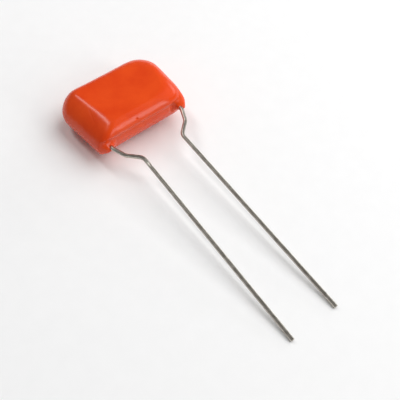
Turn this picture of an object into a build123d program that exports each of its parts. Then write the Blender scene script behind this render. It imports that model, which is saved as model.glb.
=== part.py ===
from build123d import *
from math import acos, atan2, cos, degrees, hypot, radians, sin, tan
import os

# Dipped radial film capacitor with inward-kinked leads, lying at rest: the far edge of its
# lower face and the tips of its legs touch the ground, z = 0. Millimetres and degrees.
# In the body's own frame X runs along the winding, Y from the lead side (0) to the far side,
# and Z through the thickness, with the leads in the middle at z = 0.

# ---- lead wires
wire_diameter = 0.6
exit_pitch = 13.3            # between the wires where they leave the coat
shoulder_pitch = 11.6        # between the first bends
leg_pitch = 7.5              # between the straight legs, the pitch of the board's holes
kink_start = 2.6             # from the feet to the first bend
kink_length = 1.75           # along the leg, from the first bend to the second
leg_length = 38.9            # from the feet to the cut tips
kink_bend_radius = 1.3
exit_length = 0.3            # straight wire beyond the feet, up to the first change of slope
droop_bend_radius = 1.2
leg_droop = 11.5             # slope below the body's middle plane
leg_splay = 0.8              # outwards, in that plane
weld_length = 8.2            # wire lying along the sprayed end, inside the coat

# ---- winding and its sprayed ends
winding_flat = 0.3           # straight stretch between the roll's rounded corners
spray_thickness = 0.5
wire_seat = 0.2              # depth that the wire is pressed into the spray

# ---- coat
coat_thickness = 6.3
face_wall = 0.7              # over the winding's flat faces
lead_side_wall = 1.1
far_wall = 0.9
end_wall = 1.6               # beyond the wires, at the lead side
far_swell = 0.8              # how much longer the coat is at the far side
far_side = 12.25             # from the feet to the far side
valley = 0.72                # how far the lead side lies back between the feet
brow = 0.65                  # swell of the upper rim over that valley
near_end_rim = 2.9           # how far the ends draw in to the flat faces
far_end_rim = 2.4
far_rim = 2.7
upper_rim = 0.7
lower_rim = 2.3
near_corner = 1.3            # plan radii at mid thickness
near_corner_growth = 1.5     # towards the flat faces
right_slump = 1.1            # more on the right near corner, towards the upper face
far_corner = 3.2
near_corner_share = 0.42     # greatest share of an end's run that a corner's radius takes
far_corner_share = 0.5
level_angles = (-90, -54, -18, 18, 54, 90)

# ---- feet, where the coat has crept out along the wires
foot_reach = 0.35            # beyond the plane of the wires' exits
foot_outer_wall = 1.0        # round the wire at the foot's tip
foot_inner_wall = 0.45
foot_face_wall = 0.3
foot_flat = 0.2              # straight stretch between the foot's rounded corners
foot_flare = 0.5             # from the tip to the root, all round
foot_root = 2.4              # depth of the root inside the coat
foot_lip = 0.3

# ---- sizes that follow from those
coat_near_length = exit_pitch + wire_diameter + 2 * end_wall
coat_far_length = coat_near_length + far_swell
winding_thickness = coat_thickness - 2 * face_wall
winding_start = valley + lead_side_wall
winding_width = far_side - far_wall - winding_start
winding_corner = (winding_thickness - winding_flat) / 2
half_winding = exit_pitch / 2 - wire_diameter / 2 + wire_seat - spray_thickness
foot_length = foot_outer_wall + wire_diameter + foot_inner_wall
foot_thickness = wire_diameter + 2 * foot_face_wall
foot_offset = (foot_outer_wall - foot_inner_wall) / 2
half_thickness = coat_thickness / 2
slope_start = foot_reach + exit_length
far_flat = far_side - far_rim            # far edge of the flat faces
tip_drop = (leg_length - slope_start) * tan(radians(leg_droop))


def resting_tilt():
    """Angle by which the lead side lies higher when the leg tips and the far rim touch."""
    run = far_flat + leg_length
    clear = half_thickness - wire_diameter / 2
    return acos(clear / hypot(tip_drop, run)) - atan2(run, tip_drop)


# ---- the body's frame: on the ground, with the whole part's middle over the origin
tilt = resting_tilt()
ground = half_thickness + far_flat * sin(tilt)
far_end = far_flat * cos(tilt) + hypot(far_rim * cos(tilt), half_thickness * sin(tilt))
tip_end = leg_length * cos(tilt) + tip_drop * sin(tilt)
tip_end += wire_diameter / 2 * sin(radians(leg_droop) - tilt)
body_frame = Plane(
    origin=(0, (tip_end - far_end) / 2, ground),
    x_dir=(1, 0, 0),
    z_dir=(0, sin(tilt), cos(tilt)),
)


def body_plane(x):
    """Section plane across the body at x: its X runs to the far side, its Y up."""
    origin = body_frame.from_local_coords(Vector(x, 0, 0))
    return Plane(origin=origin, x_dir=body_frame.y_dir, z_dir=body_frame.x_dir)


def lead_route(side):
    """Corners of a wire's centreline in the body's frame; side is -1 or 1."""
    slope = tan(radians(leg_droop))

    def at(x, y):
        return Vector(side * x, -y, -max(0, y - slope_start) * slope)

    kink_end = kink_start + kink_length
    tip_x = leg_pitch / 2 + (leg_length - kink_end) * tan(radians(leg_splay))
    return [
        at(exit_pitch / 2, -winding_start - weld_length),
        at(exit_pitch / 2, slope_start),
        at(shoulder_pitch / 2, kink_start),
        at(leg_pitch / 2, kink_end),
        at(tip_x, leg_length),
    ]


def level_outline(angle):
    """Values of the coat's plan outline where its side has turned by angle from upright."""
    draw_in = 1 - cos(radians(angle))
    lead_y = valley
    if angle > 0:
        lead_y += upper_rim * draw_in - brow * sin(radians(2 * angle))
    else:
        lead_y += lower_rim * draw_in
    near = coat_near_length / 2 - near_end_rim * draw_in
    far = coat_far_length / 2 - far_end_rim * draw_in
    return near, far, lead_y, far_side - far_rim * draw_in


def level_corners(angle):
    """Plan radii of that outline's corners: near left, near right and the two far ones."""
    near, far, lead_y, far_y = level_outline(angle)
    left_radius = near_corner + near_corner_growth * (1 - cos(radians(angle)))
    right_radius = left_radius + right_slump * max(0, sin(radians(angle)))
    near_limit = near_corner_share * (far_y - lead_y)
    far_radius = min(far_corner, far_corner_share * (far_y - lead_y))
    return min(left_radius, near_limit), min(right_radius, near_limit), far_radius


def build_lead(side):
    """Round wire from the sprayed end through the coat, the kink and down to its cut tip."""
    route = [body_frame.from_local_coords(corner) for corner in lead_route(side)]
    with BuildPart() as lead:
        with BuildLine() as path:
            FilletPolyline(*route, radius=[droop_bend_radius, kink_bend_radius, kink_bend_radius])
        with BuildSketch(Plane(origin=route[0], z_dir=path.line % 0)):
            Circle(wire_diameter / 2)
        sweep(path=path.line)
    return lead


def build_spray(side, lead):
    """Sprayed metal layer on one end of the winding, with the wire pressed into it."""
    with BuildPart() as spray:
        with BuildSketch(body_plane(side * half_winding)):
            with Locations((winding_start + winding_width / 2, 0)):
                RectangleRounded(winding_width, winding_thickness, winding_corner)
        extrude(amount=side * spray_thickness)
        add(lead.part, mode=Mode.SUBTRACT)
    return spray


def build_foot(side):
    """Tapered toe of the coat round one wire's exit, wider outwards than inwards."""
    length = foot_root + foot_reach
    tip = Vector(side * (exit_pitch / 2 + foot_offset), -foot_reach, 0)
    tip_plane = Plane(
        origin=body_frame.from_local_coords(tip),
        x_dir=body_frame.x_dir,
        z_dir=body_frame.y_dir,
    )
    with BuildPart() as foot:
        with BuildSketch(tip_plane):
            RectangleRounded(foot_length, foot_thickness, (foot_thickness - foot_flat) / 2)
        extrude(amount=length, taper=-degrees(atan2(foot_flare, length)))
        tip_face = foot.faces().sort_by(Axis(tip_plane.origin, tip_plane.z_dir))[0]
        chamfer(tip_face.edges(), foot_lip)
    return foot


os.makedirs("parts", exist_ok=True)

lead_left = build_lead(-1)
lead_right = build_lead(1)

with BuildPart() as film_winding:
    with BuildSketch(body_plane(0)):
        with Locations((winding_start + winding_width / 2, 0)):
            RectangleRounded(winding_width, winding_thickness, winding_corner)
    extrude(amount=half_winding, both=True)

end_spray_left = build_spray(-1, lead_left)
end_spray_right = build_spray(1, lead_right)
foot_left = build_foot(-1)
foot_right = build_foot(1)

with BuildPart() as epoxy_coat:
    for angle in level_angles:
        near, far, lead_y, far_y = level_outline(angle)
        left_radius, right_radius, far_radius = level_corners(angle)
        with BuildSketch(body_frame.offset(half_thickness * sin(radians(angle)))) as level:
            Polygon((-near, lead_y), (near, lead_y), (far, far_y), (-far, far_y), align=Align.NONE)
            far_corners = level.vertices().sort_by(Axis.Y)[-2:]
            fillet(far_corners, far_radius)
            fillet(level.vertices().sort_by_distance((-near, lead_y))[0], left_radius)
            fillet(level.vertices().sort_by_distance((near, lead_y))[0], right_radius)
    loft()
    add(foot_left.part)
    add(foot_right.part)
    for inner in (film_winding, end_spray_left, end_spray_right, lead_left, lead_right):
        add(inner.part, mode=Mode.SUBTRACT)

lead_left.part.label = "lead_left"
export_step(lead_left.part, "parts/lead_left.step")
lead_right.part.label = "lead_right"
export_step(lead_right.part, "parts/lead_right.step")
film_winding.part.label = "film_winding"
export_step(film_winding.part, "parts/film_winding.step")
end_spray_left.part.label = "end_spray_left"
export_step(end_spray_left.part, "parts/end_spray_left.step")
end_spray_right.part.label = "end_spray_right"
export_step(end_spray_right.part, "parts/end_spray_right.step")
epoxy_coat.part.label = "epoxy_coat"
export_step(epoxy_coat.part, "parts/epoxy_coat.step")
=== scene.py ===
# Dipped film capacitor lying on a pale sheet: an epoxy coat with its run-outs on the two legs,
# the formed tinned legs, and the winding and sprayed ends that the coat hides.
# Shapes are worked out in the capacitor's own millimetres: X along the winding, Y from the lead
# side to the far side, Z through the thickness, with the legs leaving at z = 0.

from math import acos, asin, atan2, cos, degrees, pi, radians, sin, tan

import bpy
import numpy as np
from mathutils import Matrix, Vector, noise


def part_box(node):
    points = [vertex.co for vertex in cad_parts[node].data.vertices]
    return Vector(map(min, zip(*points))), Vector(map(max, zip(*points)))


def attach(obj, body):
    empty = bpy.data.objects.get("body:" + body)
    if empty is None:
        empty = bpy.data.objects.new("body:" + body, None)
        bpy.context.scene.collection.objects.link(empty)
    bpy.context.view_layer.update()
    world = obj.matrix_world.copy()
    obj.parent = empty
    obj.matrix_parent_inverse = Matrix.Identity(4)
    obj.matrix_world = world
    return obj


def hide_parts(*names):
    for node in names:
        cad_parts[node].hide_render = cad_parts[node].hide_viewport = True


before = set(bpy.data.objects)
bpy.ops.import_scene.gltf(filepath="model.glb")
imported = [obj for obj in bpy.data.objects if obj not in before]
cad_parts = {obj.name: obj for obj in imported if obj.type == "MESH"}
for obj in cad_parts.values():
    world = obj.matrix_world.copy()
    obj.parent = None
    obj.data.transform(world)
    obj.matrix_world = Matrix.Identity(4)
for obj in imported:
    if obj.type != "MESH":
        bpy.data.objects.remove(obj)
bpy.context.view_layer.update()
MM = 0.001

# Sizes are in the capacitor's millimetres and angles in degrees, except where metres are named.

# ---- legs
WIRE_DIAMETER = 0.64         # with its tin
EXIT_PITCH = 13.3            # between the wires where they leave the coat
SHOULDER_PITCH = 11.6        # between them where the step inwards starts
LEG_PITCH = 7.5              # between the straight legs
KINK_START = 2.6             # out from the exits
KINK_LENGTH = 1.75
LEG_LENGTH = 38.9
EXIT_LENGTH = 0.3            # straight on out of the run-out, before the droop
KINK_BEND = 1.3              # radii of the bends
DROOP_BEND = 1.2
LEG_DROOP = 11.5
LEG_SPLAY = 0.8
WELD_END = 10.02             # where the wire ends inside, from the exits
WIRE_SIDES = 32              # of the tube, and the distance between its rings
WIRE_STEP = 0.15
BEND_FACET = 5               # turn of a bend from ring to ring

# marks of the forming tool on each leg: place along it, after the kink or (below 0) before the
# tip, half length, direction round the wire, depth
TOOL_PRESSES = {
    -1: [(1.15, 0.45, 70, 0.05), (1.75, 0.30, 150, 0.06), (-1.1, 0.35, 60, 0.04)],
    1: [(0.9, 0.35, 110, 0.035), (-2.4, 0.35, 100, 0.04)],
}

# ---- coat, the outline of each level through its thickness
COAT_THICKNESS = 6.3
NEAR_LENGTH = 17.1
FAR_LENGTH = 17.9
FAR_SIDE = 12.25
NEAR_END_RIM = 2.9
FAR_END_RIM = 2.4
FAR_RIM = 2.7
FAR_RIM_TIGHTER = 0.5        # of the left half of the far rim at the upper face
WINDING_MIDDLE = 6.585       # from the exits to the middle of the winding
# lead side in section, height and depth: lower rim, lower band, groove, brow and upper rim
LEAD_SIDE = ((-3.15, 3.02), (-3.03, 2.30), (-2.73, 1.62), (-2.2, 1.13), (-1.6, 0.82),
             (-0.9, 0.60), (-0.3, 0.49), (0.15, 0.45), (0.55, 0.44), (0.85, 0.40), (1.1, 0.30),
             (1.35, 0.18), (1.6, 0.15), (1.85, 0.21), (2.1, 0.33), (2.35, 0.50), (2.58, 0.70),
             (2.78, 0.92), (2.95, 1.16), (3.07, 1.42), (3.13, 1.68), (3.15, 1.95))
# left end in section, height and draw-in: it breaks off the upper face, then runs down flat
LEFT_END = ((0.0, 0.0), (0.3, 0.03), (0.7, 0.16), (1.2, 0.44), (1.7, 0.87), (2.1, 1.33),
            (2.45, 1.84), (2.7, 2.28), (2.88, 2.63), (3.0, 2.92), (3.08, 3.18), (3.13, 3.44),
            (3.15, 3.75))
LEFT_LEAN = 0.30             # further draw-in of its near corner
LEFT_BULGE = (0.18, 8.6, 2.4)    # of the left end at half height: how far, y and half width
RIGHT_BULGE = (0.22, 7.6, 2.6)   # of the right end above half height, likewise
BULGE_ZONE = (3, 8)          # distance from the middle over which the bulges rise
# corner radii at half height, and how much they grow towards the flat faces
LEFT_CORNER = 0.8            # stayed tight, above all towards the upper face
LEFT_CORNER_GROWTH = 0.4
LEFT_CORNER_GROWTH_BELOW = 1.5
RIGHT_CORNER = 1.2
RIGHT_CORNER_GROWTH = 0.6
RIGHT_SLUMP = 2.0            # how much rounder the upper right near corner has drawn
SLUMP_TURNS = (-30, 25)      # of the levels over which it does
FAR_CORNER = 3.2
FAR_CORNER_TIGHTER = 2.3     # of the left far corner at the upper face

# ---- coat, marks on its skin
UNEVEN = 0.04                # where the powder flowed before it set
SWELL = 3.6                  # length of its swells and of the ripples on them
RIPPLE = 1.1
RIPPLE_SHARE = 0.35
SWELL_LEVEL = 0.3            # taken off, so that they don't make the coat larger
LEAD_SIDE_DEPTH = 3.2        # the marks on the lead side are kept to what lies nearer
GROOVE = (-5.2, 5.6, 0.72, 0.45, 0.07)   # under the brow: from x, to x, height, half width, depth
GROOVE_FADES = (3.0, 0.4)    # lengths over which it starts and ends
GROOVE_WAVE = (0.10, 0.9)    # of its height: how much, and turn per millimetre in radians
GROOVE_FALL = 0.03           # of its height per millimetre to the right
CREASE = ((1.4, -0.25), (4.0, 0.0), (5.5, -0.2))   # fine fold in the lower band, x and height
CREASE_FADES = (1.2, 0.3)
CREASE_DEPTH = 0.05
CREASE_HALF = 0.09
NOTCH = (5.72, -0.05, 0.42)  # beside the right leg's run-out: x, height and depth
NOTCH_HALVES = (0.42, 0.95)  # half its width and half its height
PIT = (-1.23, 2.16, 0.12, 0.14)          # burst bubble on the brow: x, height, radius and depth
SCRATCH = ((6.2, 2.95), (3.4, 2.25))     # on the left end, from and to, y and height
SCRATCH_HALF = 0.05
SCRATCH_DEPTH = 0.03
SCRATCH_FADES = (0.15, 0.8)  # share of its length by which it is full, and from which it ends
LEFT_END_FROM = -4           # x beyond which the skin belongs to the left end

# ---- run-outs, where the coat crept along the legs
TOE_REACH = 0.35
# left and right tip: outwards from the wire, upwards, half the width of its blunt front, and how
# fast the run-out widens from there towards the coat
TOES = {-1: (0.10, -0.38, 0.30, 1.2), 1: (0.46, -0.15, 0.12, 1.6)}
TOE_HALF_HEIGHT = 0.1        # of the blunt front
TOE_ROUND = 0.4              # rounding of the tip
TOE_SLANT = 0.16             # reach gained per millimetre outwards, over this stretch of it
TOE_SLANT_OVER = (-0.5, 1)
TOE_FACING = (0.05, 0.55)    # how squarely the skin faces the legs where it starts to be drawn out
TOE_BLEND = 0.6
# collar of epoxy round the wire: radius, set back from the tip, slope, width of the gentle slope
# and what the slope steepens by beyond it
COLLAR = (0.27, 0.12, 1.6, 0.16, 4)
COLLAR_BLEND = 0.06

# ---- how finely the coat's skin is divided
SIDE_POINTS = (250, 50, 50, 130)         # along the lead side, right end, far side and left end
CORNER_POINTS = (44, 44, 32, 32)         # round the left near, right near, right far and left far
LEVELS = ((-90, -27, 22), (-27, 27, 38), (27, 68, 46), (68, 90, 13))   # turn from, to and count
SEAM_ROUNDS = 26             # of easing at the seams of an outline
FACE_RINGS = 9               # between the edge of a flat face and its middle

# ---- studio, in metres
FLOOR_HALF = 3.0
CAMERA_TURN = -45.574
CAMERA_RISE = 56.514
CAMERA_ROLL = 7.788
CAMERA_DISTANCE = 0.1240646
CAMERA_AIM = (0.14417 * MM, -0.06196 * MM, 0)
LENS = 73.007                # millimetres, on a sensor this wide
SENSOR = 36
SKY_LIGHT = 0.18
LIT_POINT = (0, 0.016, 0.003)
# direction from the lit point, direction of the first side, distance, sides and watts
KEY_BOX = ((0.55, -0.12, 0.80), (0, 1, 0), 0.45, (0.46, 0.46), 1.85)
FRONT_BOX = ((0.394, -0.80, 0.44), (0, 0, 1), 0.35, (0.19, 0.08), 0.25)
LEFT_STRIP = ((-0.165, 0.554, 0.815), (0, 1, 0), 0.40, (0.18, 0.07), 0.36)
SIDE_STRIP = ((0.95, 0.12, 0.28), (0, 1, 0), 0.40, (0.24, 0.08), 0.20)
CORNER_STRIP = ((-0.68, -0.70, 0.20), (0, 0, 1), 0.35, (0.10, 0.02), 0.05)


def capacitor_placement():
    """Matrix from the capacitor's own millimetres to its resting place in the scene."""
    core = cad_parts["film_winding"].data
    up = max(core.polygons, key=lambda face: face.area).normal.copy()
    if up.z < 0:
        up.negate()
    along = Vector((1, 0, 0))
    across = up.cross(along).normalized()
    low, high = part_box("film_winding")
    origin = (low + high) / 2 - across * WINDING_MIDDLE * MM
    turn = Matrix((along, across, up)).transposed().to_4x4()
    return Matrix.Translation(origin) @ turn @ Matrix.Scale(MM, 4)


PLACEMENT = capacitor_placement()


def placed_mesh(name, points, faces):
    """Smooth mesh object from points in the capacitor's millimetres, riding on its one body."""
    mesh = bpy.data.meshes.new(name)
    mesh.from_pydata([PLACEMENT @ Vector(p) for p in points], [], faces)
    mesh.update()
    mesh.shade_smooth()
    piece = bpy.data.objects.new(name, mesh)
    bpy.context.scene.collection.objects.link(piece)
    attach(piece, "root")
    return piece


# ------------------------------------------------------------------ coat

def rounded_outline(corners, radii):
    """Closed outline with an arc at each corner, always of the same number of points."""
    count = len(corners)
    points = []
    for i in range(count):
        here = np.array(corners[i], float)
        before = np.array(corners[i - 1], float)
        after = np.array(corners[(i + 1) % count], float)
        into = (here - before) / np.linalg.norm(here - before)
        out = (after - here) / np.linalg.norm(after - here)
        turn = acos(np.clip(into @ out, -1, 1))
        reach = radii[i] * tan(turn / 2)
        centre = here - into * reach + radii[i] * np.array([-into[1], into[0]])
        start = atan2(*(here - into * reach - centre)[::-1])
        for step in range(CORNER_POINTS[i]):
            a = start + turn * step / CORNER_POINTS[i]
            points.append(centre + radii[i] * np.array([cos(a), sin(a)]))
        nxt = (i + 1) % count
        follow = np.array(corners[(i + 2) % count], float)
        ahead = (follow - after) / np.linalg.norm(follow - after)
        next_turn = acos(np.clip(out @ ahead, -1, 1))
        a0 = here + out * reach
        a1 = after - out * radii[nxt] * tan(next_turn / 2)
        for share in np.arange(SIDE_POINTS[i]) / SIDE_POINTS[i]:
            points.append(a0 + (a1 - a0) * share)
    return np.array(points)


def through(stations, at):
    """Value at a place on a smooth curve through (place, value) stations."""
    places = np.array([p for p, v in stations])
    values = np.array([v for p, v in stations])
    slopes = np.gradient(values, places)
    i = int(np.clip(np.searchsorted(places, at) - 1, 0, len(places) - 2))
    span = places[i + 1] - places[i]
    t = (at - places[i]) / span
    return (values[i] * (1 + 2 * t) * (1 - t) ** 2 + values[i + 1] * t * t * (3 - 2 * t)
            + span * (slopes[i] * t * (1 - t) ** 2 - slopes[i + 1] * t * t * (1 - t)))


def soften(outline):
    """Eases the outline where its arcs meet its sides, so that no seam shows in the gloss."""
    for _ in range(SEAM_ROUNDS):
        outline = 0.5 * outline + 0.25 * (np.roll(outline, 1, 0) + np.roll(outline, -1, 0))
    return outline


def steepness(height):
    """Turn of the level that lies at a height over the coat's middle."""
    return degrees(asin(max(-1, min(1, 2 * height / COAT_THICKNESS))))


def coat_level(turn):
    """Outline of the coat where its side has turned by turn degrees from upright."""
    draw_in = 1 - cos(radians(turn))
    up = max(0, sin(radians(turn)))
    level = 1 - abs(sin(radians(turn)))
    lead_y = through([(steepness(z), y) for z, y in LEAD_SIDE], turn)
    if turn > 0:
        left_in = through([(steepness(z), x) for z, x in LEFT_END], turn)
        left_near = LEFT_CORNER + LEFT_CORNER_GROWTH * draw_in
    else:
        left_in = NEAR_END_RIM * draw_in
        left_near = LEFT_CORNER + LEFT_CORNER_GROWTH_BELOW * draw_in
    left_far_in = left_in * FAR_END_RIM / NEAR_END_RIM
    right_near = (RIGHT_CORNER + RIGHT_CORNER_GROWTH * draw_in
                  + RIGHT_SLUMP * step_up(turn, *SLUMP_TURNS))
    near = NEAR_LENGTH / 2 - NEAR_END_RIM * draw_in
    far = FAR_LENGTH / 2 - FAR_END_RIM * draw_in
    far_y = FAR_SIDE - FAR_RIM * draw_in
    outline = rounded_outline(
        [(left_in + LEFT_LEAN * up - NEAR_LENGTH / 2, lead_y), (near, lead_y), (far, far_y),
         (left_far_in - FAR_LENGTH / 2, far_y + FAR_RIM_TIGHTER * up * draw_in)],
        [left_near, right_near, FAR_CORNER, FAR_CORNER - FAR_CORNER_TIGHTER * up ** 2],
    )
    x, y = outline.T
    bulge, middle, half = RIGHT_BULGE
    x += bulge * up ** 0.5 * step_up(x, *BULGE_ZONE) * np.exp(-((y - middle) / half) ** 2)
    bulge, middle, half = LEFT_BULGE
    x -= bulge * level * step_up(-x, *BULGE_ZONE) * np.exp(-((y - middle) / half) ** 2)
    return outline


def smooth_min(a, b, blend):
    """Lesser of two heights, rounded over where they cross."""
    h = np.clip(0.5 + 0.5 * (b - a) / blend, 0, 1)
    return b * (1 - h) + a * h - blend * h * (1 - h)


def step_up(value, start, end):
    """Smooth step from 0 at start to 1 at end."""
    t = np.clip((value - start) / (end - start), 0, 1)
    return t * t * (3 - 2 * t)


def fade(value, start, end, fades):
    """1 between start and end, eased in and out over the two lengths of fades."""
    return step_up(value, start, start + fades[0]) * (1 - step_up(value, end - fades[1], end))


def mark_lead_side(points):
    """Groove under the brow, fold, notch beside the right run-out, and burst bubble."""
    x, y, z = points.T.copy()
    near = (y < LEAD_SIDE_DEPTH).astype(float)

    start, end, height, half, depth = GROOVE
    wave, turn = GROOVE_WAVE
    middle = height + wave * np.sin(x * turn) - GROOVE_FALL * x
    along = fade(x, start, end, GROOVE_FADES)
    y += near * depth * along * np.exp(-((z - middle) / half) ** 2)

    middle = np.interp(x, [p for p, q in CREASE], [q for p, q in CREASE])
    along = fade(x, CREASE[0][0], CREASE[-1][0], CREASE_FADES)
    y += near * CREASE_DEPTH * along * np.exp(-((z - middle) / CREASE_HALF) ** 2)

    notch_x, notch_z, depth = NOTCH
    wide, high = NOTCH_HALVES
    y += near * depth * np.exp(-((x - notch_x) / wide) ** 2 - ((z - notch_z) / high) ** 2)

    pit_x, pit_z, radius, depth = PIT
    y += near * depth * np.exp(-(np.hypot(x - pit_x, z - pit_z) / radius) ** 2)
    return np.column_stack([x, y, z])


def mark_left_end(points):
    """Hairline scratch down the left end."""
    start, end = np.array(SCRATCH)
    run = end - start
    from_start = points[:, 1:] - start
    share = from_start @ run / (run @ run)
    off = np.abs(from_start @ np.array([-run[1], run[0]])) / np.linalg.norm(run)
    full, ends = SCRATCH_FADES
    along = step_up(share, 0, full) * (1 - step_up(share, ends, 1))
    depth = (points[:, 0] < LEFT_END_FROM) * SCRATCH_DEPTH * along
    points[:, 0] += depth * np.exp(-(off / SCRATCH_HALF) ** 2)
    return points


def add_run_outs(points, facing):
    """Draws the lead side out into a rounded cone round each leg, its tip beside the wire."""
    x, y, z = points.T.copy()
    ahead = step_up(-facing[:, 1], *TOE_FACING)
    collar_radius, set_back, slope, gentle, steeper = COLLAR
    for side in (-1, 1):
        out = (x - side * EXIT_PITCH / 2) * side
        offset, raised, flat, widening = TOES[side]
        beside = np.maximum(np.abs(out - offset) - flat, 0)
        above = np.maximum(np.abs(z - raised) - TOE_HALF_HEIGHT, 0)
        from_tip = np.hypot(np.hypot(beside, above), TOE_ROUND) - TOE_ROUND
        toe = -TOE_REACH - TOE_SLANT * np.clip(out, *TOE_SLANT_OVER) + widening * from_tip
        gap = np.maximum(np.hypot(out, z) - collar_radius, 0)
        collar = -TOE_REACH + set_back + slope * gap + steeper * np.maximum(gap - gentle, 0)
        toe = smooth_min(toe, collar, COLLAR_BLEND)
        y += ahead * (smooth_min(y, toe, TOE_BLEND) - y)
    return np.column_stack([x, y, z])


def build_coat():
    """Closed skin of the coat: rings through its thickness, then each flat face in rings."""
    turns = np.concatenate([np.linspace(start, end, count, endpoint=end == 90)
                            for start, end, count in LEVELS])
    rings, facing = [], []
    for turn in turns:
        outline = soften(coat_level(turn))
        lean, rise = cos(radians(turn)), sin(radians(turn))
        run = np.roll(outline, -1, 0) - np.roll(outline, 1, 0)
        run /= np.linalg.norm(run, axis=1)[:, None]
        same = np.ones(len(outline))
        rings.append(np.column_stack([outline, COAT_THICKNESS / 2 * rise * same]))
        facing.append(np.column_stack([run[:, 1] * lean, -run[:, 0] * lean, rise * same]))
    lower, upper = rings[0].mean(0), rings[-1].mean(0)
    shrink = np.linspace(1, 0, FACE_RINGS + 2)[1:-1]
    below = [lower + (rings[0] - lower) * s for s in shrink[::-1]]
    above = [upper + (rings[-1] - upper) * s for s in shrink]
    facing = [facing[0]] * FACE_RINGS + facing + [facing[-1]] * FACE_RINGS
    rings = below + rings + above
    count = len(rings[0])
    points, facing = np.concatenate(rings), np.concatenate(facing)
    flow = np.array([noise.noise(Vector(p) / SWELL)
                     + RIPPLE_SHARE * noise.noise(Vector(p) / RIPPLE) for p in points])
    points += facing * (UNEVEN * (flow - SWELL_LEVEL))[:, None]
    points = add_run_outs(mark_lead_side(mark_left_end(points)), facing)
    faces = []
    for level in range(len(rings) - 1):
        for i in range(count):
            j = (i + 1) % count
            faces.append((level * count + i, level * count + j,
                          (level + 1) * count + j, (level + 1) * count + i))
    low, high = len(points), len(points) + 1
    last = (len(rings) - 1) * count
    points = [tuple(p) for p in points]
    points += [tuple(np.mean(points[:count], 0)), tuple(np.mean(points[last:], 0))]
    for i in range(count):
        j = (i + 1) % count
        faces.append((low, j, i))
        faces.append((high, last + i, last + j))
    return placed_mesh("dipped_coat", points, faces)


# ------------------------------------------------------------------ legs

def leg_route(side):
    """Corners of a leg's centreline, from inside the coat to its cut tip."""
    slope = tan(radians(LEG_DROOP))
    slope_start = TOE_REACH + EXIT_LENGTH

    def at(x, y):
        return Vector((side * x, -y, -max(0, y - slope_start) * slope))

    kink_end = KINK_START + KINK_LENGTH
    tip_x = LEG_PITCH / 2 + (LEG_LENGTH - kink_end) * tan(radians(LEG_SPLAY))
    return [
        at(EXIT_PITCH / 2, -WELD_END),
        at(EXIT_PITCH / 2, slope_start),
        at(SHOULDER_PITCH / 2, KINK_START),
        at(LEG_PITCH / 2, kink_end),
        at(tip_x, LEG_LENGTH),
    ]


def bent_line(route, radii, step):
    """Points along straight runs joined by arcs, about step apart."""
    line = [route[0]]
    for i in range(1, len(route) - 1):
        into = (route[i] - route[i - 1]).normalized()
        out = (route[i + 1] - route[i]).normalized()
        turn = into.angle(out)
        reach = radii[i - 1] * tan(turn / 2)
        start, end = route[i] - into * reach, route[i] + out * reach
        centre = start + (out - into * into.dot(out)).normalized() * radii[i - 1]
        run = (start - line[-1]).length
        for k in range(1, int(run / step) + 1):
            line.append(line[-1] + (start - line[-1]).normalized() * step)
        if (line[-1] - start).length < step / 3:
            line.pop()
        arc = max(4, int(degrees(turn) / BEND_FACET))
        arm = start - centre
        axis = into.cross(out).normalized()
        for k in range(arc + 1):
            line.append(centre + Matrix.Rotation(turn * k / arc, 3, axis) @ arm)
    while (route[-1] - line[-1]).length > step * 1.4:
        line.append(line[-1] + (route[-1] - line[-1]).normalized() * step)
    line.append(route[-1])
    return line


def pressed_radius(at, angle, presses):
    """Radius of the wire at a place along it and an angle round it, less where the tool pressed."""
    radius = WIRE_DIAMETER / 2
    for middle, half, facing, deep in presses:
        square = cos(angle - facing)
        if abs(at - middle) < half and square > 0:
            depth = deep * (1 - ((at - middle) / half) ** 2) ** 0.5
            radius = min(radius, (WIRE_DIAMETER / 2 - depth) / square)
    return radius


def build_leg(side, name):
    """Tinned wire drawn as a tube along its bends, with the marks of the forming tool."""
    route = leg_route(side)
    line = bent_line(route, [DROOP_BEND, KINK_BEND, KINK_BEND], WIRE_STEP)
    run = [0.0]
    for before, after in zip(line, line[1:]):
        run.append(run[-1] + (after - before).length)
    kink_at = run[min(range(len(line)), key=lambda i: (line[i] - route[3]).length)]
    presses = [(start + (run[-1] if start < 0 else kink_at), half, radians(a), deep)
               for start, half, a, deep in TOOL_PRESSES[side]]
    normal = Vector((0, 0, 1))
    points, faces = [], []
    for i, centre in enumerate(line):
        before, after = line[max(0, i - 1)], line[min(len(line) - 1, i + 1)]
        direction = (after - before).normalized()
        normal = (normal - direction * normal.dot(direction)).normalized()
        across = direction.cross(normal)
        for k in range(WIRE_SIDES):
            a = 2 * pi * k / WIRE_SIDES
            outwards = across * cos(a) + normal * sin(a)
            points.append(centre + outwards * pressed_radius(run[i], a, presses))
    for i in range(len(line) - 1):
        here, ahead = i * WIRE_SIDES, (i + 1) * WIRE_SIDES
        for k in range(WIRE_SIDES):
            n = (k + 1) % WIRE_SIDES
            faces.append((here + k, here + n, ahead + n, ahead + k))
    last = (len(line) - 1) * WIRE_SIDES
    faces.append(tuple(range(WIRE_SIDES))[::-1])
    faces.append(tuple(last + k for k in range(WIRE_SIDES)))
    leg = placed_mesh(name, points, faces)
    # across: half way round the wire and back, so that no seam shows; along: millimetres
    lay = leg.data.uv_layers.new(name="along_wire")
    for loop in leg.data.loops:
        ring, k = divmod(loop.vertex_index, WIRE_SIDES)
        lay.data[loop.index].uv = (abs(2 * k / WIRE_SIDES - 1), run[ring])
    return leg


# ------------------------------------------------------------------ finishes

def linear(code):
    """sRGB hex colour as the linear values that a shader takes."""
    parts = [int(code[i:i + 2], 16) / 255 for i in (1, 3, 5)]
    return [c / 12.92 if c <= 0.04045 else ((c + 0.055) / 1.055) ** 2.4 for c in parts] + [1]


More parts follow.
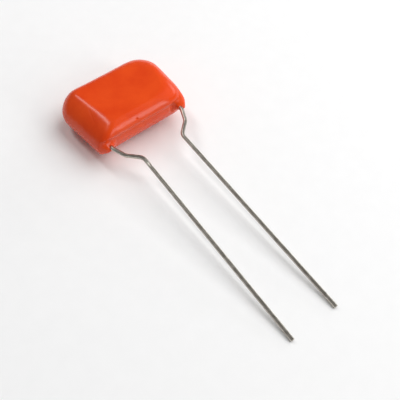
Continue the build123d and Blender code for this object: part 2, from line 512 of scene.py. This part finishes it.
def new_finish(name):
    """New material with its nodes and the shader at their end."""
    finish = bpy.data.materials.new(name)
    finish.use_nodes = True
    return finish, finish.node_tree, finish.node_tree.nodes["Principled BSDF"]


def add_node(tree, kind, settings=None, inputs=None, links=None):
    """Adds a node with its settings, its socket values and the links into it."""
    node = tree.nodes.new(kind)
    for key, value in (settings or {}).items():
        setattr(node, key, value)
    for key, value in (inputs or {}).items():
        node.inputs[key].default_value = value
    for key, source in (links or {}).items():
        tree.links.new(source, node.inputs[key])
    return node


def dipped_epoxy():
    """Powder epoxy, dipped hot and baked: it has flowed to a soft gloss over a full orange-red, a
    little uneven like the peel of an orange, with faint clouds where the powder lay thicker."""
    finish, tree, shader = new_finish("dipped_orange_epoxy")
    place = add_node(tree, "ShaderNodeTexCoord").outputs["Object"]
    # clouds 4 mm across
    cloud = add_node(tree, "ShaderNodeTexNoise", inputs={"Scale": 260, "Detail": 3},
                     links={"Vector": place})
    # pigment grains are 0.05 mm across; drawn about 0.15 mm so that they show
    grain = add_node(tree, "ShaderNodeTexNoise", inputs={"Scale": 6500, "Detail": 2},
                     links={"Vector": place})
    mixed = add_node(tree, "ShaderNodeMath", {"operation": "MULTIPLY_ADD"}, {1: 0.25},
                     {0: grain.outputs["Fac"], 2: cloud.outputs["Fac"]})
    tint = add_node(tree, "ShaderNodeValToRGB", links={"Fac": mixed.outputs["Value"]})
    thin, thick = tint.color_ramp.elements
    thin.position, thin.color = 0.42, linear("#DD400C")
    thick.position, thick.color = 0.85, linear("#E94E14")
    tree.links.new(tint.outputs["Color"], shader.inputs["Base Color"])
    # peel 1.1 mm across and 0.02 mm deep
    peel = add_node(tree, "ShaderNodeTexNoise", inputs={"Scale": 900, "Detail": 2},
                    links={"Vector": place})
    relief = add_node(tree, "ShaderNodeBump", inputs={"Strength": 0.5, "Distance": 0.00002},
                      links={"Height": peel.outputs["Fac"]})
    tree.links.new(relief.outputs["Normal"], shader.inputs["Normal"])
    gloss = add_node(tree, "ShaderNodeMapRange", inputs={"To Min": 0.2, "To Max": 0.3},
                     links={"Value": cloud.outputs["Fac"]})
    tree.links.new(gloss.outputs["Result"], shader.inputs["Roughness"])
    shader.inputs["IOR"].default_value = 1.5
    shader.inputs["Specular IOR Level"].default_value = 0.36
    return finish


def tinned_wire():
    """Copper-clad steel wire, hot tinned: dull silver with a warm cast, with faint lines along it
    from the wiping die and a mottle where the tin ran and tarnished."""
    finish, tree, shader = new_finish("hot_tinned_wire")
    along = add_node(tree, "ShaderNodeTexCoord").outputs["UV"]
    place = add_node(tree, "ShaderNodeTexCoord").outputs["Object"]
    # the die's lines are 0.02 mm wide; drawn about 0.07 mm wide, 14 to half the wire's girth, so
    # that they show; they run on for about 3 mm
    drawn = add_node(tree, "ShaderNodeMapping", inputs={"Scale": (14, 0.35, 1)},
                     links={"Vector": along})
    lines = add_node(tree, "ShaderNodeTexNoise", inputs={"Scale": 1, "Detail": 3},
                     links={"Vector": drawn.outputs["Vector"]})
    # mottle 0.7 mm across
    mottle = add_node(tree, "ShaderNodeTexNoise",
                      inputs={"Scale": 1400, "Detail": 4, "Roughness": 0.6},
                      links={"Vector": place})
    mixed = add_node(tree, "ShaderNodeMath", {"operation": "MULTIPLY_ADD"}, {1: 0.45},
                     {0: lines.outputs["Fac"], 2: mottle.outputs["Fac"]})
    tint = add_node(tree, "ShaderNodeValToRGB", links={"Fac": mixed.outputs["Value"]})
    tarnished, clean = tint.color_ramp.elements
    tarnished.position, tarnished.color = 0.5, linear("#ABA398")
    clean.position, clean.color = 0.95, linear("#D6D0C6")
    tree.links.new(tint.outputs["Color"], shader.inputs["Base Color"])
    gloss = add_node(tree, "ShaderNodeMapRange", inputs={"To Min": 0.3, "To Max": 0.46},
                     links={"Value": mottle.outputs["Fac"]})
    tree.links.new(gloss.outputs["Result"], shader.inputs["Roughness"])
    # lines and runs stand 0.015 mm proud
    relief = add_node(tree, "ShaderNodeBump", inputs={"Strength": 0.6, "Distance": 0.000015},
                      links={"Height": mixed.outputs["Value"]})
    tree.links.new(relief.outputs["Normal"], shader.inputs["Normal"])
    shader.inputs["Metallic"].default_value = 1
    return finish


def sprayed_zinc():
    """Zinc sprayed hot on the winding's ends: matt grey, rough with frozen droplets."""
    finish, tree, shader = new_finish("sprayed_zinc")
    place = add_node(tree, "ShaderNodeTexCoord").outputs["Object"]
    # droplets 0.1 mm across and 0.03 mm proud
    grain = add_node(tree, "ShaderNodeTexVoronoi", inputs={"Scale": 9000}, links={"Vector": place})
    tint = add_node(tree, "ShaderNodeValToRGB", links={"Fac": grain.outputs["Distance"]})
    middle, edge = tint.color_ramp.elements
    middle.color = linear("#8C8E90")
    edge.color = linear("#B4B6B8")
    tree.links.new(tint.outputs["Color"], shader.inputs["Base Color"])
    relief = add_node(tree, "ShaderNodeBump", inputs={"Strength": 0.5, "Distance": 0.00003},
                      links={"Height": grain.outputs["Distance"]})
    tree.links.new(relief.outputs["Normal"], shader.inputs["Normal"])
    shader.inputs["Metallic"].default_value = 1
    shader.inputs["Roughness"].default_value = 0.6
    return finish


def metallised_film():
    """Polypropylene film with aluminium steamed on it, wound tight: silvery and fairly smooth, with
    the edges of its turns as lines."""
    finish, tree, shader = new_finish("metallised_film")
    place = add_node(tree, "ShaderNodeTexCoord").outputs["Object"]
    # the turns lie 0.006 mm apart; drawn 0.2 mm apart so that they show
    turns = add_node(tree, "ShaderNodeTexWave", {"bands_direction": "Z"},
                     {"Scale": 1500, "Distortion": 1.5}, {"Vector": place})
    tint = add_node(tree, "ShaderNodeValToRGB", links={"Fac": turns.outputs["Fac"]})
    edge, face = tint.color_ramp.elements
    edge.color = linear("#9A9CA0")
    face.color = linear("#C6C8CC")
    tree.links.new(tint.outputs["Color"], shader.inputs["Base Color"])
    shader.inputs["Metallic"].default_value = 0.8
    shader.inputs["Roughness"].default_value = 0.35
    return finish


def pale_sheet():
    """Uncoated white card under the capacitor: matt, without a shine, faintly cloudy."""
    finish, tree, shader = new_finish("white_card")
    place = add_node(tree, "ShaderNodeTexCoord").outputs["Object"]
    # the pulp's flocks, 2.5 mm across
    flocks = add_node(tree, "ShaderNodeTexNoise", inputs={"Scale": 400, "Detail": 4},
                      links={"Vector": place})
    tint = add_node(tree, "ShaderNodeValToRGB", links={"Fac": flocks.outputs["Fac"]})
    dense, light = tint.color_ramp.elements
    dense.color = linear("#F2F2F2")
    light.color = linear("#F6F6F6")
    tree.links.new(tint.outputs["Color"], shader.inputs["Base Color"])
    shader.inputs["Roughness"].default_value = 0.9
    shader.inputs["Specular IOR Level"].default_value = 0
    return finish


# ------------------------------------------------------------------ studio

def add_floor():
    """Sheet that the capacitor lies on."""
    mesh = bpy.data.meshes.new("floor")
    corners = [(-FLOOR_HALF, -FLOOR_HALF, 0), (FLOOR_HALF, -FLOOR_HALF, 0),
               (FLOOR_HALF, FLOOR_HALF, 0), (-FLOOR_HALF, FLOOR_HALF, 0)]
    mesh.from_pydata(corners, [], [(0, 1, 2, 3)])
    floor = bpy.data.objects.new("floor", mesh)
    bpy.context.scene.collection.objects.link(floor)
    mesh.materials.append(pale_sheet())


def add_softbox(name, direction, along, distance, size, power):
    """Area light facing the lit point from a direction, its first side along another."""
    light = bpy.data.lights.new(name, "AREA")
    light.shape = "RECTANGLE"
    light.size, light.size_y = size
    light.energy = power
    lamp = bpy.data.objects.new(name, light)
    bpy.context.scene.collection.objects.link(lamp)
    toward = Vector(direction).normalized()
    across = toward.cross(Vector(along)).normalized()
    turned = Matrix((across.cross(toward), across, toward)).transposed().to_4x4()
    lamp.matrix_world = Matrix.Translation(Vector(LIT_POINT) + toward * distance) @ turned
    return lamp


def light_studio():
    """Soft white light from the right and above, with boxes that draw the gloss along the rims."""
    world = bpy.data.worlds.new("studio")
    world.use_nodes = True
    sky = world.node_tree.nodes["Background"]
    sky.inputs["Color"].default_value = linear("#FFFFFF")
    sky.inputs["Strength"].default_value = SKY_LIGHT
    bpy.context.scene.world = world
    bpy.context.scene.view_settings.view_transform = "Standard"
    key = add_softbox("key_box", *KEY_BOX)
    key.visible_glossy = False                      # so that it leaves no patch in the gloss
    add_softbox("front_box", *FRONT_BOX)            # shine along the brow
    add_softbox("left_strip", *LEFT_STRIP)          # line where the left end breaks off
    add_softbox("side_strip", *SIDE_STRIP)          # shine along the wires
    add_softbox("corner_strip", *CORNER_STRIP)      # glint on the near left corner


def add_camera():
    """Camera looking down on the capacitor over its left run-out."""
    turn, rise, roll = radians(CAMERA_TURN), radians(CAMERA_RISE), radians(CAMERA_ROLL)
    back = Vector((sin(turn) * cos(rise), -cos(turn) * cos(rise), sin(rise)))
    level = Vector((cos(turn), sin(turn), 0))
    right = level * cos(roll) + back.cross(level) * sin(roll)
    up = back.cross(right)
    camera = bpy.data.cameras.new("camera")
    camera.lens, camera.sensor_width = LENS, SENSOR
    camera.clip_start = 0.005
    holder = bpy.data.objects.new("camera", camera)
    bpy.context.scene.collection.objects.link(holder)
    place = Matrix((right, up, back)).transposed().to_4x4()
    place.translation = Vector(CAMERA_AIM) + back * CAMERA_DISTANCE
    holder.matrix_world = place
    bpy.context.scene.camera = holder


# ------------------------------------------------------------------ dressing

coat = build_coat()
coat.data.materials.append(dipped_epoxy())
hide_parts("epoxy_coat")

wire_finish = tinned_wire()
for side, name, node in ((-1, "leg_left", "lead_left"), (1, "leg_right", "lead_right")):
    leg = build_leg(side, name)
    leg.data.materials.append(wire_finish)
    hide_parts(node)

spray_finish = sprayed_zinc()
for node, finish in (("end_spray_left", spray_finish), ("end_spray_right", spray_finish),
                     ("film_winding", metallised_film())):
    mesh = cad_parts[node].data
    mesh.materials.clear()
    mesh.materials.append(finish)

add_floor()
add_camera()
light_studio()
